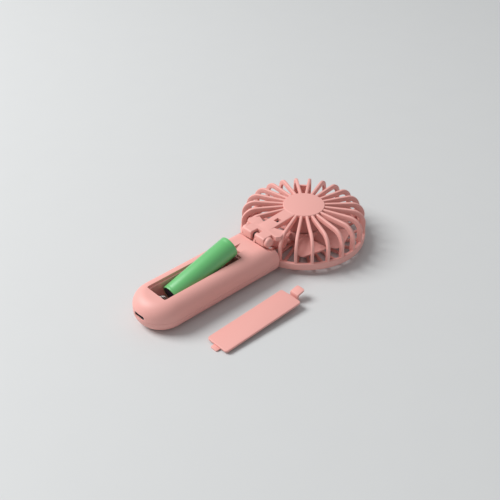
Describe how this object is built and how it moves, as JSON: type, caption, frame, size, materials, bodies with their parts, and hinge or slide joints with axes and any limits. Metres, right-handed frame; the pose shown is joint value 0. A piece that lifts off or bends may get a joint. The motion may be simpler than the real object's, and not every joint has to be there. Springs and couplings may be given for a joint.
{
  "type": "folding handheld fan",
  "caption": "Folding hand and desk fan, rear side up: round caged head hinged to a rounded handle, with the battery compartment open, its cell tipped out and the cover beside it.",
  "frame": {"origin": "centre of the front badge's flat face, on the fan's spin axis, where the head rests on the table", "axes": "+X from the handle's charging end through the hinge to the head, +Z from the front side towards the rear side along the spin axis, +Y across the handle parallel to the fold hinge"},
  "size_m": [0.1824, 0.0945, 0.0331],
  "materials": {
    "pink_abs": "satin moulded, fine texture",
    "dark_plastic": "satin moulded",
    "white_nylon": "satin moulded",
    "green_wrap": "shrink wrap, soft gloss",
    "clear_lens": "clear diffuser",
    "circuit_board": "solder mask",
    "red_wire": "vinyl sleeve",
    "black_wire": "vinyl sleeve",
    "nickel_steel": "nickel plated",
    "plain_steel": "bright drawn",
    "dark_steel": "blackened",
    "brass": "sintered",
    "copper_wire": "enamelled copper",
    "ferrite": "sintered, matt"
  },
  "bodies": {
    "handle": {"handle_rear_shell": "pink_abs", "handle_front_shell": "pink_abs", "indicator_lens": "clear_lens", "control_board": "circuit_board", "tact_switch": "dark_plastic", "charge_board": "circuit_board", "usb_shell": "nickel_steel", "usb_tongue": "dark_plastic", "board_wire_red": "red_wire", "board_wire_black": "black_wire", "contact_spring": "nickel_steel", "contact_plate": "nickel_steel", "hinge_leaf": "pink_abs", "leaf_screw_1": "nickel_steel", "leaf_screw_2": "nickel_steel", "friction_washer_1": "dark_steel", "friction_washer_2": "dark_steel", "shell_screw_1": "nickel_steel", "shell_screw_2": "nickel_steel"},
    "head": {"rear_grille": "pink_abs", "front_grille": "pink_abs", "front_badge": "pink_abs", "motor_cup": "pink_abs", "motor_can": "nickel_steel", "motor_end_cap": "white_nylon", "bush_front": "brass", "bush_rear": "brass", "motor_magnet_1": "ferrite", "motor_magnet_2": "ferrite", "motor_screw_1": "nickel_steel", "motor_screw_2": "nickel_steel", "motor_lead_red": "red_wire", "motor_lead_black": "black_wire", "hinge_pin": "dark_steel", "pin_cap_near": "pink_abs", "pin_cap_far": "pink_abs"},
    "rotor": {"fan_rotor": "pink_abs", "motor_shaft": "plain_steel", "armature": "dark_steel", "commutator": "copper_wire", "armature_coil_1": "copper_wire", "armature_coil_2": "copper_wire", "armature_coil_3": "copper_wire"},
    "button": {"power_button": "pink_abs"},
    "cell": {"cell_sleeve": "green_wrap", "cell_base": "dark_plastic", "cell_button": "nickel_steel"},
    "cover": {"battery_cover": "pink_abs"}
  },
  "joints": [
    {"name": "head_fold", "type": "hinge", "parent": "handle", "child": "head", "pos_m": [-0.043, 0, 0.0228], "axis": [0, -1, 0], "range_deg": [0, 110]},
    {"name": "rotor_spin", "type": "hinge", "parent": "head", "child": "rotor", "pos_m": [0, 0, 0.01], "axis": [0, 0, 1], "continuous": true},
    {"name": "button_press", "type": "slide", "parent": "handle", "child": "button", "axis": [0, 0, 1], "range_m": [0, 0.0005], "stiffness_N_per_m": 3000},
    {"name": "cell_lift", "type": "slide", "parent": "handle", "child": "cell", "axis": [0, 0, 1], "range_m": [0, 0.02]},
    {"name": "cover_lift", "type": "slide", "parent": "handle", "child": "cover", "axis": [0, 0, 1], "range_m": [0, 0.03]}
  ]
}
